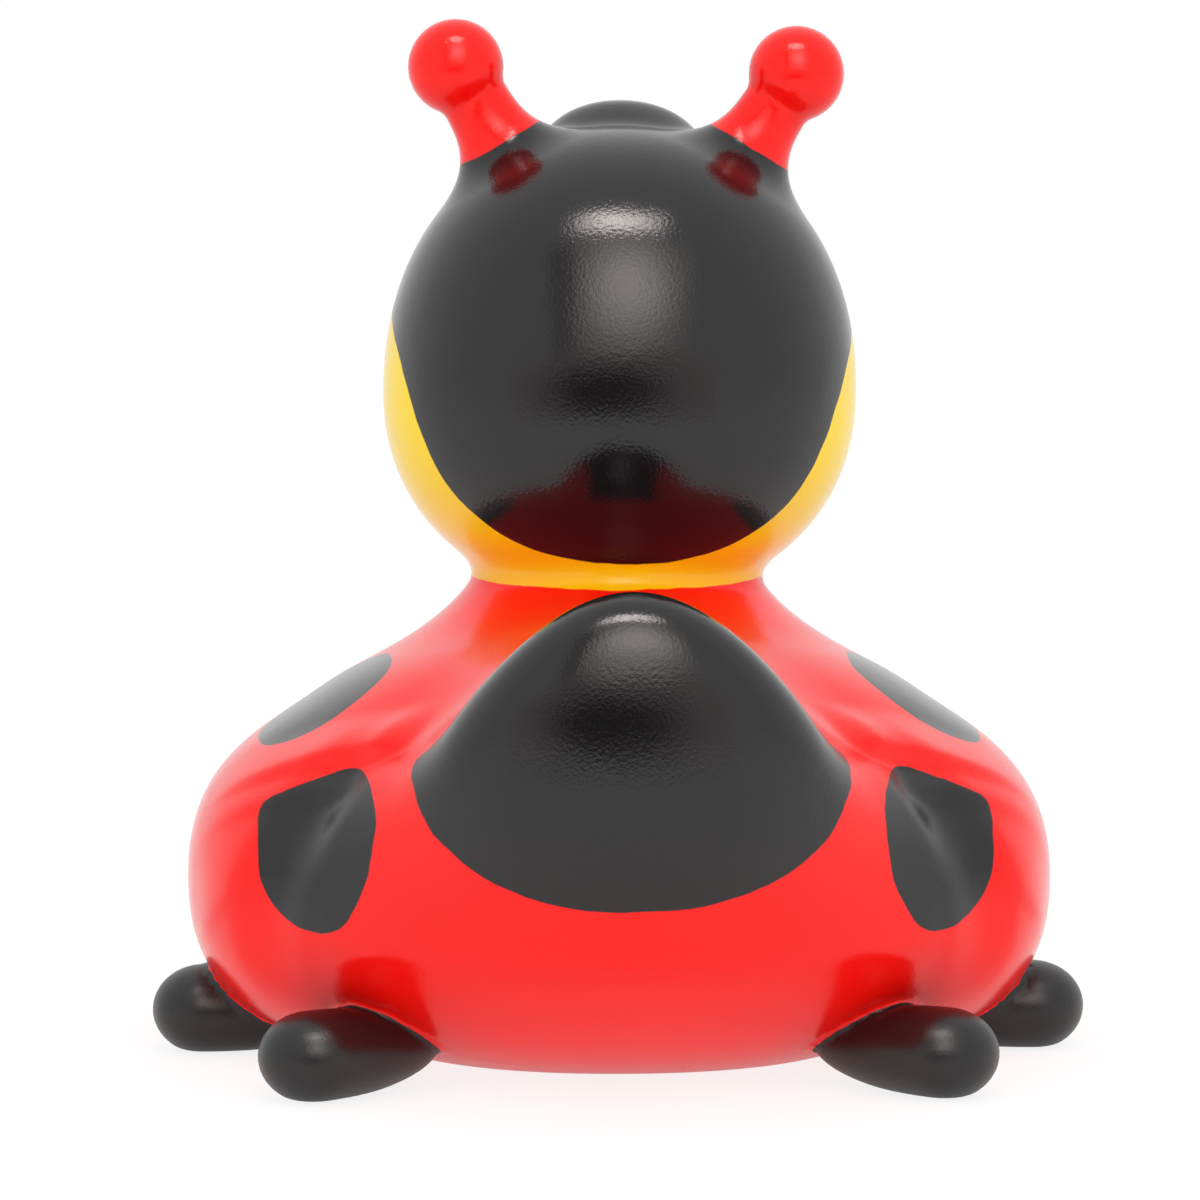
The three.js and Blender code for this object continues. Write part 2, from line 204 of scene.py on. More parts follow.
@dataclass
class DuckForm:
    """The outside of the moulding, in mm: rounded volumes that flow into each other."""

    body_half_width: float = 35.4
    body_half_length: float = 32.0
    body_middle_y: float = -1.0
    body_widest_z: float = 14.8
    body_rise: float = 21.6
    body_depth: float = 16.4
    body_squareness: float = 2.2
    breast_half_width: float = 30.0
    breast_reach: float = 36.5
    rump_half_width: float = 31.0
    rump_reach: float = 36.0
    rump_lift: float = 4.5
    neck_radius: float = 10.0
    neck_y: float = -8.0
    head_y: float = -9.0
    head_half_width: float = 20.6
    head_above_back: float = 19.9
    head_rise: float = 23.0
    head_drop: float = 18.3
    head_squareness: float = 2.15
    tail_reach: float = 42.0
    tail_half_width: float = 22.6
    tail_squareness: float = 2.3
    tail_middle_y: float = 12.0
    tail_widest_z: float = 28.5
    tail_lift: float = 10.0
    tail_rise: float = 29.0
    tail_apex_y: float = 35.0
    tail_apex_z: float = 43.4
    tail_slope: float = 0.39
    tail_roof_fall: float = 1.3
    tail_roof_rounding: float = 11.3
    tail_rim_rounding: float = 5.0
    wing_reach: float = 37.0
    wing_half_width: float = 13.0
    wing_half_length: float = 22.0
    wing_middle_z: float = 15.5
    wing_rise: float = 12.5
    wing_drop: float = 13.5
    wing_squareness: float = 2.3
    feather_step: float = 1.4
    feather_breadth: float = 6.0
    feather_tip_fade: float = 4.0
    feather_depth: float = 7.0
    feathers: Sequence[tuple[Place, Place, float]] = (
        ((20.4, 22.2, 28.9), (36.4, 6.0, 21.5), 1.15),
        ((25.4, 20.4, 25.0), (37.0, 8.5, 20.0), 0.6),
        ((31.2, 19.4, 17.4), (37.5, 9.0, 11.0), 0.6),
    )
    valley_middle_x: float = 10.9
    valley_middle_z: float = 10.2
    valley_radius: float = 20.4
    valley_y: float = 21.2
    valley_half_width: float = 4.8
    valley_depth: float = 0.8
    valley_start: float = 66.0
    valley_start_fade: float = 26.0
    valley_end: float = -20.0
    valley_end_fade: float = 30.0
    foot_height: float = 7.7
    foot_width: float = 9.5
    foot_round_end: float = 4.4
    foot_taper: float = 13.0
    foot_sink: float = 0.25
    middle_foot_reach: float = 40.3
    middle_foot_y: float = 1.0
    rear_foot_reach: float = 30.7
    rear_foot_y: float = 26.0
    front_foot_reach: float = 30.7
    front_foot_y: float = -25.0
    outer_feet_turn: float = 38.0
    ball_radius: float = 4.15
    ball_apart: float = 29.6
    ball_above_head: float = 4.9
    stalk_radius: float = 2.75
    stalk_root_radius: float = 3.3
    stalk_root_apart: float = 19.6
    crest_half_width: float = 7.0
    crest_half_length: float = 5.0
    crest_forward: float = 7.0
    crest_above_head: float = 2.1
    crest_root_depth: float = 2.2
    bill_half_width: float = 9.0
    bill_reach: float = 42.2
    bill_root_depth: float = 4.0
    upper_lip_thickness: float = 4.4
    lower_lip_thickness: float = 3.4
    lower_lip_share: float = 0.78
    lip_overlap: float = 0.5
    lip_fillet: float = 1.4
    lip_curl: float = 2.2
    bill_below_head: float = 4.5
    head_lean: float = 1.2
    head_lean_z: float = 38.0
    neck_fillet: float = 12.0
    chin_fillet: float = 2.0
    rump_fillet: float = 6.0
    tail_fillet: float = 7.0
    wing_fillet: float = 3.0
    crest_fillet: float = 2.2
    stalk_fillet: float = 4.5
    ball_fillet: float = 0.4
    foot_fillet: float = 0.7
    bill_fillet: float = 1.2
    floor_rounding: float = 0.5
    air_hole_radius: float = 1.5
    air_hole_depth: float = 2.2
    air_hole_y: float = -4.0
    air_hole_rounding: float = 0.3

    def __post_init__(self) -> None:
        """Works out the volumes that take some figuring."""
        self.head_z = self.body_widest_z + self.body_rise + self.head_above_back
        self.head_top_z = self.head_z + self.head_rise
        quarter = self.body_half_length / 4
        low = (self.body_rise, self.body_depth)
        self.trunk = Egg(
            (0, self.body_middle_y, self.body_widest_z),
            self.body_half_width,
            self.body_half_length,
            *low,
            self.body_squareness,
        )
        breast_y = self.body_middle_y - quarter
        rump_y = self.body_middle_y + quarter
        self.breast = Egg(
            (0, breast_y, self.body_widest_z),
            self.breast_half_width,
            self.breast_reach + breast_y,
            *low,
        )
        self.rump = Egg(
            (0, rump_y, self.body_widest_z),
            self.rump_half_width,
            self.rump_reach - rump_y,
            self.body_rise,
            self.body_widest_z - self.rump_lift,
        )
        self.neck = Bar(
            (0, self.neck_y, self.body_widest_z),
            (0, self.neck_y, self.head_z),
            self.neck_radius,
            self.neck_radius,
        )
        self.head = Egg(
            (0, self.head_y, self.head_z),
            self.head_half_width,
            self.head_half_width,
            self.head_rise,
            self.head_drop,
            self.head_squareness,
        )
        self.bowl = Egg(
            (0, self.tail_middle_y, self.tail_widest_z),
            self.tail_half_width,
            self.tail_reach - self.tail_middle_y,
            self.tail_rise,
            self.tail_widest_z - self.tail_lift,
            self.tail_squareness,
        )
        self.crest = Egg(
            (0, self.head_y - self.crest_forward, self.head_top_z - self.crest_root_depth),
            self.crest_half_width,
            self.crest_half_length,
            self.crest_above_head + self.crest_root_depth,
            self.crest_half_length,
        )
        self.stalk = Bar(
            (self.stalk_root_apart / 2, self.head_y, self.head_top_z - self.stalk_root_radius),
            (self.ball_apart / 2, self.head_y, self.head_top_z + self.ball_above_head),
            self.stalk_root_radius,
            self.stalk_radius,
        )
        ball = self.stalk.end
        self.ball = Bar(ball, (ball[0], ball[1], ball[2] + 0.01), self.ball_radius, self.ball_radius)
        self.wing = Egg(
            (self.wing_reach - self.wing_half_width, 0, self.wing_middle_z),
            self.wing_half_width,
            self.wing_half_length,
            self.wing_rise,
            self.wing_drop,
            self.wing_squareness,
        )
        self.shingles = [Feather(self, tip, root, height) for tip, root, height in self.feathers]

    def roof(self, x: Array, y: Array, z: Array) -> Array:
        """Height above the tail's roof, which falls away to both sides of its apex."""
        ridge = self.tail_apex_z + self.tail_slope * (y - self.tail_apex_y)
        fall = self.tail_roof_fall * (np.hypot(x, self.tail_roof_rounding) - self.tail_roof_rounding)
        return (z - ridge + fall) / math.hypot(1, self.tail_slope, self.tail_roof_fall * 0.7)

    def body(self, x: Array, y: Array, z: Array) -> Array:
        """Distance to the body with its tail, without neck, wings and feet."""
        d = joined(self.trunk(x, y, z), self.breast(x, y, z), self.rump_fillet)
        d = joined(d, self.rump(x, y, z), self.rump_fillet)
        tail = common(self.bowl(x, y, z), self.roof(x, y, z), self.tail_rim_rounding)
        return joined(d, tail, self.tail_fillet)

    def foot(self, x: Array, y: Array, z: Array, reach: float, foot_y: float, turn: float) -> Array:
        """Distance to one foot: round outside, with a long taper in under the body."""
        c, s = math.cos(math.radians(turn)), math.sin(math.radians(turn))
        dx, dy = x - (reach - self.foot_round_end), y - foot_y
        u, v = dx * c + dy * s, dy * c - dx * s
        up = z - (self.foot_height / 2 - self.foot_sink)
        reaches = [
            np.where(u > 0, self.foot_round_end, self.foot_taper),
            self.foot_width / 2,
            self.foot_height / 2,
        ]
        parts = [np.abs(u) / reaches[0], np.abs(v) / reaches[1], np.abs(up) / reaches[2]]
        size = np.sqrt(np.maximum(sum(p**2 for p in parts), 1e-9))
        slope = np.sqrt(sum((p / r) ** 2 for p, r in zip(parts, reaches))) / size
        return (size - 1) / np.maximum(slope, 1e-6)

    def feet(self, x: Array, y: Array, z: Array) -> Array:
        """Distance to the nearest of the six feet."""
        side = np.abs(x)
        turn = self.outer_feet_turn
        middle = self.foot(side, y, z, self.middle_foot_reach, self.middle_foot_y, 0)
        rear = self.foot(side, y, z, self.rear_foot_reach, self.rear_foot_y, turn)
        front = self.foot(side, y, z, self.front_foot_reach, self.front_foot_y, -turn)
        return np.minimum(np.minimum(middle, rear), front)

    def antennae(self, x: Array, y: Array, z: Array) -> Array:
        """Distance to the nearer antenna: a stalk with a ball."""
        side = np.abs(x)
        return joined(self.stalk(side, y, z), self.ball(side, y, z), self.ball_fillet)

    def lip(self, x: Array, y: Array, z: Array, share: float, thickness: float, lip_z: float) -> Array:
        """Distance to one lip of the bill: a flat oval that curls up."""
        root_y = self.head_y - self.head_half_width + self.bill_root_depth
        length = (self.bill_reach + root_y) * share
        along = (y - root_y) / length
        flat_z = z - lip_z - self.lip_curl * np.clip(along, -1.3, 1.3) ** 2
        reaches = [self.bill_half_width * share, length, thickness / 2]
        parts = [np.abs(x) / reaches[0], np.abs(along), np.abs(flat_z) / reaches[2]]
        size = np.sqrt(np.maximum(sum(p**2 for p in parts), 1e-9))
        slope = np.sqrt(sum((p / r) ** 2 for p, r in zip(parts, reaches))) / size
        return (size - 1) / np.maximum(slope, 1e-6)

    def bill(self, x: Array, y: Array, z: Array) -> Array:
        """Distance to the bill's two lips."""
        middle = self.head_z - self.bill_below_head
        upper_z = middle + self.upper_lip_thickness / 2 - self.lip_overlap
        upper = self.lip(x, y, z, 1, self.upper_lip_thickness, upper_z)
        lower_z = middle - self.lower_lip_thickness / 2
        lower = self.lip(x, y, z, self.lower_lip_share, self.lower_lip_thickness, lower_z)
        return joined(upper, lower, self.lip_fillet)

    def valley(self, x: Array, y: Array, z: Array) -> Array:
        """Depth of the valley between the feathers' tips and the rump, in mm."""
        aside, up = x - self.valley_middle_x, z - self.valley_middle_z
        off = np.hypot(np.hypot(aside, up) - self.valley_radius, y - self.valley_y)
        turn = np.degrees(np.arctan2(up, aside))
        ends = smoothly(turn, self.valley_end, self.valley_end + self.valley_end_fade)
        full = self.valley_start - self.valley_start_fade
        ends = ends * (1 - smoothly(turn, full, self.valley_start))
        return self.valley_depth * ends * (1 - smoothly(off, 0, self.valley_half_width))

    def wings(self, x: Array, y: Array, z: Array, d: Array) -> Array:
        """Adds the wings, with their feathers, to a distance."""
        side = np.abs(x)
        d = joined(d, self.wing(side, y, z), self.wing_fillet)
        for feather in self.shingles:
            d = d - feather.lift(side, y, z)
        return d + self.valley(side, y, z)

    def upright(self, x: Array, y: Array, z: Array) -> tuple[Array, Array, Array]:
        """Where a place on the head would be if the head, which leans a little to -X, stood straight."""
        c, s = math.cos(math.radians(self.head_lean)), math.sin(math.radians(self.head_lean))
        up = z - self.head_lean_z
        return x * c + up * s, y, self.head_lean_z + up * c - x * s

    def footless(self, x: Array, y: Array, z: Array) -> Array:
        """Distance to the body, neck, head and wings."""
        d = joined(self.body(x, y, z), self.neck(x, y, z), self.neck_fillet)
        d = joined(d, self.head(*self.upright(x, y, z)), self.chin_fillet)
        return self.wings(x, y, z, d)

    def outside(self, x: Array, y: Array, z: Array) -> Array:
        """Distance to the whole moulding's outside."""
        place = self.upright(x, y, z)
        d = self.footless(x, y, z)
        d = joined(d, self.crest(*place), self.crest_fillet)
        d = joined(d, self.antennae(*place), self.stalk_fillet)
        d = joined(d, self.bill(*place), self.bill_fillet)
        d = joined(d, self.feet(x, y, z), self.foot_fillet)
        d = common(d, -z, self.floor_rounding)
        hole = np.hypot(x, y - self.air_hole_y) - self.air_hole_radius
        return common(d, -np.maximum(hole, z - self.air_hole_depth), self.air_hole_rounding)


@dataclass
class Skin:
    """Meshes the surface of a volume on a grid: one vertex for each cell that it passes through."""

    volume: Volume
    low: Array
    high: Array
    cell: float
    evening_passes: int = 2
    slabs: int = 16
    pinch_passes: int = 8
    pinch_value: float = -0.001

    def build(self) -> tuple[Array, Array]:
        """Makes the mesh.

        Returns:
            Places in mm, and four vertex numbers for each face.
        """
        axes = [np.arange(a, b + self.cell, self.cell) for a, b in zip(self.low, self.high)]
        values = self.sample(axes)
        self.fill_pinches(values)
        inside = values < 0
        points, number = self.vertices(axes, values, inside)
        faces = self.faces(inside, number)
        for _ in range(self.evening_passes):
            points = self.evened(points, faces)
        return settle(self.volume, points, 2), faces

    def sample(self, axes: Sequence[Array]) -> Array:
        """The volume's value at each corner of the grid, a slab at a time."""
        x, y, z = axes
        slabs = [
            self.volume(part[:, None, None], y[None, :, None], z[None, None, :])
            for part in np.array_split(x, self.slabs)
        ]
        return np.concatenate(slabs)

    def fill_pinches(self, values: Array) -> None:
        """Fills cell faces where two inside corners meet only across the diagonal."""
        for _ in range(self.pinch_passes):
            found = 0
            for axis in range(3):
                v = np.moveaxis(values, axis, 0)
                a, b, c, d = v[:, :-1, :-1], v[:, 1:, :-1], v[:, 1:, 1:], v[:, :-1, 1:]
                for p, q, r, s in ((a, b, c, d), (b, a, d, c)):
                    bad = (p >= 0) & (r >= 0) & (q < 0) & (s < 0)
                    found += int(bad.sum())
                    p[bad] = self.pinch_value
            if not found:
                return

    def vertices(self, axes: Sequence[Array], values: Array, inside: Array) -> tuple[Array, Array]:
        """One vertex for each cell that has corners on both sides.

        Args:
            axes: The grid's places along X, Y and Z.
            values: The volume at the corners.
            inside: Where that is below 0.

        Returns:
            The vertices, and the number of each cell's vertex, or -1.
        """
        shape = np.array(values.shape) - 1
        corners = [(i, j, k) for k in (0, 1) for j in (0, 1) for i in (0, 1)]

        def at(grid: Array, corner: Sequence[int]) -> Array:
            """The grid's values at one corner of each cell."""
            i, j, k = corner
            return grid[i : i + shape[0], j : j + shape[1], k : k + shape[2]]

        count = sum(at(inside, c).astype(np.int8) for c in corners)
        cells = np.argwhere((count > 0) & (count < 8))
        number = np.full(shape, -1)
        number[tuple(cells.T)] = np.arange(len(cells))
        corner_value = {c: values[tuple((cells + c).T)] for c in corners}
        total = np.zeros((len(cells), 3))
        cuts = np.zeros(len(cells))
        for c in corners:
            for axis in range(3):
                if c[axis]:
                    continue
                other = tuple(1 if i == axis else v for i, v in enumerate(c))
                a, b = corner_value[c], corner_value[other]
                cut = (a < 0) != (b < 0)
                share = np.where(cut, a / np.where(cut, a - b, 1), 0)
                place = np.repeat(np.array(c, float)[None], len(cells), 0)
                place[:, axis] += share
                total += place * cut[:, None]
                cuts += cut
        places = (cells + total / cuts[:, None]) * self.cell + np.array([a[0] for a in axes])
        return places, number

    def faces(self, inside: Array, number: Array) -> Array:
        """One face across each grid edge that the surface cuts."""
        out = []
        for axis in range(3):
            u, v = (axis + 1) % 3, (axis + 2) % 3
            here = [slice(1, -1)] * 3
            ahead = list(here)
            here[axis] = slice(1, -2)
            ahead[axis] = slice(2, -1)
            a, b = inside[tuple(here)], inside[tuple(ahead)]
            for flip in (False, True):
                cut = np.argwhere((a & ~b) if not flip else (~a & b)) + 1
                ring = []
                for du, dv in ((0, 0), (1, 0), (1, 1), (0, 1)):
                    cell = cut.copy()
                    cell[:, u] -= du
                    cell[:, v] -= dv
                    ring.append(number[tuple(cell.T)])
                out.append(np.stack(ring[::-1] if flip else ring, 1))
        return np.concatenate(out)

    def evened(self, points: Array, faces: Array) -> Array:
        """Moves each vertex to the middle of its neighbours and back onto the surface."""
        total = np.zeros_like(points)
        count = np.zeros(len(points))
        for i in range(4):
            a, b = faces[:, i], faces[:, (i + 1) % 4]
            for p, q in ((a, b), (b, a)):
                for axis in range(3):
                    total[:, axis] += np.bincount(p, points[q, axis], len(points))
                count += np.bincount(p, minlength=len(points))
        return settle(self.volume, total / count[:, None], 1)


@dataclass(frozen=True)
class Spot:
    """One painted spot: a round patch whose edge swells in soft waves, seen square on from one side.

    Each wave has a number of lobes, a height in mm and the angle of its first lobe. Each cut keeps what
    lies less than a reach in mm from the middle towards an angle. Angles are in degrees from across.
    """

    middle: tuple[float, float, float]
    across: tuple[float, float, float]
    upwards: tuple[float, float, float]
    radius: float
    waves: tuple[tuple[int, float, float], ...]
    depth: float
    cuts: tuple[tuple[float, float], ...] = ()


@dataclass
class PaintMap:
    """Where each paint lies: distances to the paints' edges, in mm, below 0 inside."""

    form: DuckForm
    neck_line_z: float = 40.4
    neck_line_room: float = 1.0
    hood_back_y: float = 4.9
    hood_back_z: float = 43.2
    hood_back_lean: float = 0.215
    hood_low_z: float = 42.2
    hood_side_z: float = 61.8
    hood_side_y: float = -4.0
    hood_brow_rise: float = 0.25
    hood_corner: float = 9.0
    hood_low_corner: float = 2.0
    tail_spot_low_z: float = 17.5
    tail_spot_wide_z: float = 29.0
    tail_spot_half_width: float = 18.1
    tail_spot_squareness: float = 2.15
    tail_spot_shoulder_z: float = 50.5
    tail_spot_shoulder_slope: float = 1.037
    tail_spot_wrap: float = 2.0
    tail_spot_lobe: float = 27.0
    tail_spot_lobe_half_width: float = 7.0
    tail_spot_front_y: float = 17.0
    tail_spot_corner: float = 3.0
    tail_spot_rim_corner: float = 1.0
    feet_edge_slope: float = 0.7
    antenna_rim: float = 0.8
    bill_rim: float = 0.3
    bill_inset: float = 0.1
    eye_apart: float = 16.4
    eye_half_width: float = 2.5
    eye_half_height: float = 3.6
    eye_above_middle: float = 3.2
    glint_radius: float = 0.85
    glint_inwards: float = 0.6
    glint_above_eye: float = 1.7

    def hood(self, x: Array, y: Array, z: Array) -> Array:
        """Edge of the black hood, which leaves the face free."""
        back = y - (self.hood_back_y - self.hood_back_lean * (z - self.hood_back_z))
        brow = z - (self.hood_side_z + self.hood_brow_rise * (self.hood_side_y - y))
        face = common(back, brow, self.hood_corner)
        return common(-face, self.hood_low_z - z, self.hood_low_corner)

    def head(self, x: Array, y: Array, z: Array) -> Array:
        """Edge of the head's yellow, at the neck."""
        off = np.hypot(x, y - self.form.head_y) - self.form.head_half_width
        return np.maximum(self.neck_line_z - z, off - self.neck_line_room)

    def tail_spot(self, x: Array, y: Array, z: Array) -> Array:
        """Edge of the big spot on the tail, which wraps over the rim and runs on along the roof's middle."""
        side = np.abs(x)
        low = self.tail_spot_wide_z - self.tail_spot_low_z
        down = np.maximum(self.tail_spot_wide_z - z, 0) / low
        n = self.tail_spot_squareness
        size = ((side / self.tail_spot_half_width) ** n + down**n) ** (1 / n)
        slope = self.tail_spot_shoulder_slope
        shoulder = (z - self.tail_spot_shoulder_z + slope * side) / math.hypot(1, slope)
        lobe = np.exp(-((side / self.tail_spot_lobe_half_width) ** 2))
        wrap = self.tail_spot_wrap + self.tail_spot_lobe * lobe
        d = common((size - 1) * low, shoulder, self.tail_spot_corner)
        d = np.maximum(d, self.tail_spot_front_y - y)
        return common(d, -self.form.bowl(x, y, z) - wrap, self.tail_spot_rim_corner)

    def feet(self, x: Array, y: Array, z: Array) -> Array:
        """Edge of the feet's black, in the crease between the feet and the body."""
        return (self.form.feet(x, y, z) - self.form.footless(x, y, z)) * self.feet_edge_slope

    def antennae(self, x: Array, y: Array, z: Array) -> Array:
        """Edge of the antennae's red, round their roots."""
        return self.form.antennae(x, y, z) - self.antenna_rim

    def bill(self, x: Array, y: Array, z: Array) -> Array:
        """Edge of the bill's orange."""
        outside_head = self.bill_inset - self.form.head(x, y, z)
        return common(self.form.bill(x, y, z) - self.bill_rim, outside_head, self.bill_rim)

    def eyes(self, x: Array, y: Array, z: Array) -> Array:
        """Edge of the two painted eyes."""
        across = (np.abs(x) - self.eye_apart / 2) / self.eye_half_width
        up = (z - self.form.head_z - self.eye_above_middle) / self.eye_half_height
        return np.maximum((np.hypot(across, up) - 1) * self.eye_half_width, y - self.form.head_y)

    def glints(self, x: Array, y: Array, z: Array) -> Array:
        """Edge of the small white glint in each eye."""
        across = np.abs(x) - self.eye_apart / 2 + self.glint_inwards
        up = z - self.form.head_z - self.eye_above_middle - self.glint_above_eye
        return np.maximum(np.hypot(across, up) - self.glint_radius, y - self.form.head_y)

    def layers(self, x: Array, y: Array, z: Array) -> dict[str, Array]:
        """Finds every paint's edge.

        Args:
            x: Places along X in mm.
            y: Places along Y.
            z: Places along Z.

        Returns:
            The distances by the name of their attribute.
        """
        place = self.form.upright(x, y, z)
        return {
            "head_edge": self.head(x, y, z),
            # Height above the neck line, which sets how much painted red reflection tints the yellow.
            "above_neck": z - self.neck_line_z,
            "hood_edge": self.hood(*place),
            "tail_spot_edge": self.tail_spot(x, y, z),
            "feet_edge": self.feet(x, y, z),
            "antennae_edge": self.antennae(*place),
            "bill_edge": self.bill(*place),
            "eyes_edge": self.eyes(*place),
            "glints_edge": self.glints(*place),
        }


@dataclass
class SpotTree:
    """A Geometry Nodes tree that writes the distance to the nearest wing spot on a mesh."""

    spots: Sequence[Spot]
    attribute: str = "wing_spots_edge"
    corner_rounding: float = 2.6

    def math(
        self,
        tree: Tree,
        operation: str,
        a: Union[Socket, float],
        b: Union[Socket, float] = 0.0,
        c: float = 0.0,
    ) -> Socket:
        """Adds one Math node.

        Args:
            tree: The tree that it goes in.
            operation: The node's operation.
            a: First value or link.
            b: Second value or link.
            c: Third value.

        Returns:
            The node's output.
        """
        node = tree.nodes.new("ShaderNodeMath")
        node.operation = operation
        node.inputs[2].default_value = c
        for socket, value in zip(node.inputs, (a, b)):
            if isinstance(value, Socket):
                tree.links.new(value, socket)
            else:
                socket.default_value = value
        return node.outputs[0]

    def dot(self, tree: Tree, a: Socket, b: Sequence[float]) -> Socket:
        """Adds a dot product of a link and a fixed vector."""
        node = tree.nodes.new("ShaderNodeVectorMath")
        node.operation = "DOT_PRODUCT"
        tree.links.new(a, node.inputs[0])
        node.inputs[1].default_value = tuple(b)
        return node.outputs["Value"]

    def spot_edge(self, tree: Tree, place: Socket, spot: Spot) -> Socket:
        """Adds the distance to one spot's edge.

        Args:
            tree: The tree that it goes in.
            place: The point's place in mm, mirrored to +X.
            spot: The spot.

        Returns:
            The distance in mm, below 0 inside.
        """
        across, upwards = Vector(spot.across).normalized(), Vector(spot.upwards).normalized()
        outwards = across.cross(upwards)
        offset = tree.nodes.new("ShaderNodeVectorMath")
        offset.operation = "SUBTRACT"
        tree.links.new(place, offset.inputs[0])
        offset.inputs[1].default_value = spot.middle
        u = self.dot(tree, offset.outputs[0], across)
        v = self.dot(tree, offset.outputs[0], upwards)
        squares = [self.math(tree, "MULTIPLY", part, part) for part in (u, v)]
        off = self.math(tree, "SQRT", self.math(tree, "ADD", *squares))
        angle = self.math(tree, "ARCTAN2", v, u)
        edge = self.math(tree, "SUBTRACT", off, spot.radius)
        for lobes, height, turn in spot.waves:
            phase = self.math(tree, "SUBTRACT", angle, math.radians(turn))
            wave = self.math(tree, "COSINE", self.math(tree, "MULTIPLY", phase, float(lobes)))
            edge = self.math(tree, "SUBTRACT", edge, self.math(tree, "MULTIPLY", wave, height))
        for turn, reach in spot.cuts:
            c, s = math.cos(math.radians(turn)), math.sin(math.radians(turn))
            shares = [self.math(tree, "MULTIPLY", part, share) for part, share in ((u, c), (v, s))]
            along = self.math(tree, "ADD", *shares)
            cut = self.math(tree, "SUBTRACT", along, reach)
            edge = self.math(tree, "SMOOTH_MAX", edge, cut, self.corner_rounding)
        behind = self.math(tree, "SUBTRACT", -spot.depth, self.dot(tree, offset.outputs[0], outwards))
        return self.math(tree, "MAXIMUM", edge, behind)

    def build(self, material: bpy.types.Material) -> Tree:
        """Makes the tree.

        Args:
            material: What the mesh is painted with.

        Returns:
            The tree, with the inputs Geometry and Units for Each mm.
        """
        tree = bpy.data.node_groups.new("wing_spots", "GeometryNodeTree")
        tree.interface.new_socket("Geometry", in_out="INPUT", socket_type="NodeSocketGeometry")
        tree.interface.new_socket("Geometry", in_out="OUTPUT", socket_type="NodeSocketGeometry")
        units = tree.interface.new_socket("Units for Each mm", in_out="INPUT", socket_type="NodeSocketFloat")
        units.default_value = MM
        start, end = tree.nodes.new("NodeGroupInput"), tree.nodes.new("NodeGroupOutput")
        position = tree.nodes.new("GeometryNodeInputPosition")
        scale = tree.nodes.new("ShaderNodeVectorMath")
        scale.operation = "SCALE"
        tree.links.new(position.outputs[0], scale.inputs[0])
        mm_for_each_unit = self.math(tree, "DIVIDE", 1.0, start.outputs["Units for Each mm"])
        tree.links.new(mm_for_each_unit, scale.inputs["Scale"])
        split = tree.nodes.new("ShaderNodeSeparateXYZ")
        tree.links.new(scale.outputs[0], split.inputs[0])
        place = tree.nodes.new("ShaderNodeCombineXYZ")
        tree.links.new(self.math(tree, "ABSOLUTE", split.outputs[0]), place.inputs[0])
        tree.links.new(split.outputs[1], place.inputs[1])
        tree.links.new(split.outputs[2], place.inputs[2])
        edge = self.spot_edge(tree, place.outputs[0], self.spots[0])
        for spot in self.spots[1:]:
            edge = self.math(tree, "MINIMUM", edge, self.spot_edge(tree, place.outputs[0], spot))
        store = tree.nodes.new("GeometryNodeStoreNamedAttribute")
        store.data_type = "FLOAT"
        store.domain = "POINT"
        store.inputs["Name"].default_value = self.attribute
        tree.links.new(start.outputs["Geometry"], store.inputs["Geometry"])
        tree.links.new(edge, store.inputs["Value"])
        realize = tree.nodes.new("GeometryNodeRealizeInstances")
        dress = tree.nodes.new("GeometryNodeSetMaterial")
        dress.inputs["Material"].default_value = material
        tree.links.new(store.outputs["Geometry"], realize.inputs["Geometry"])
        tree.links.new(realize.outputs["Geometry"], dress.inputs["Geometry"])
        tree.links.new(dress.outputs["Geometry"], end.inputs["Geometry"])
        return tree


Input = Union["Signal", float, Sequence[float], Socket]


@dataclass
class Signal:
    """A shader socket that adds Math nodes when it is used in an expression."""

    graph: "ShaderGraph"
    socket: Socket

    def _math(self, operation: str, a: Input, b: Input) -> "Signal":
        """Adds one Math node to the graph."""
        return self.graph.node("ShaderNodeMath", {"operation": operation}, {0: a, 1: b})

    def __add__(self, other: Input) -> "Signal":
        """Sum."""
        return self._math("ADD", self, other)

    def __radd__(self, other: Input) -> "Signal":
        """Sum, from the right."""
        return self._math("ADD", other, self)

    def __sub__(self, other: Input) -> "Signal":
        """Difference."""
        return self._math("SUBTRACT", self, other)

    def __rsub__(self, other: Input) -> "Signal":
        """Difference, from the right."""
        return self._math("SUBTRACT", other, self)

    def __mul__(self, other: Input) -> "Signal":
        """Product."""
        return self._math("MULTIPLY", self, other)

    def __rmul__(self, other: Input) -> "Signal":
        """Product, from the right."""
        return self._math("MULTIPLY", other, self)

    def __truediv__(self, other: Input) -> "Signal":
        """Quotient."""
        return self._math("DIVIDE", self, other)

    def __rtruediv__(self, other: Input) -> "Signal":
        """Quotient, from the right."""
        return self._math("DIVIDE", other, self)

    def highest(self, other: Input) -> "Signal":
        """The greater of the two."""
        return self._math("MAXIMUM", self, other)

    def limited(self) -> "Signal":
        """The value held between 0 and 1."""
        return self.graph.node("ShaderNodeClamp", {}, {0: self})


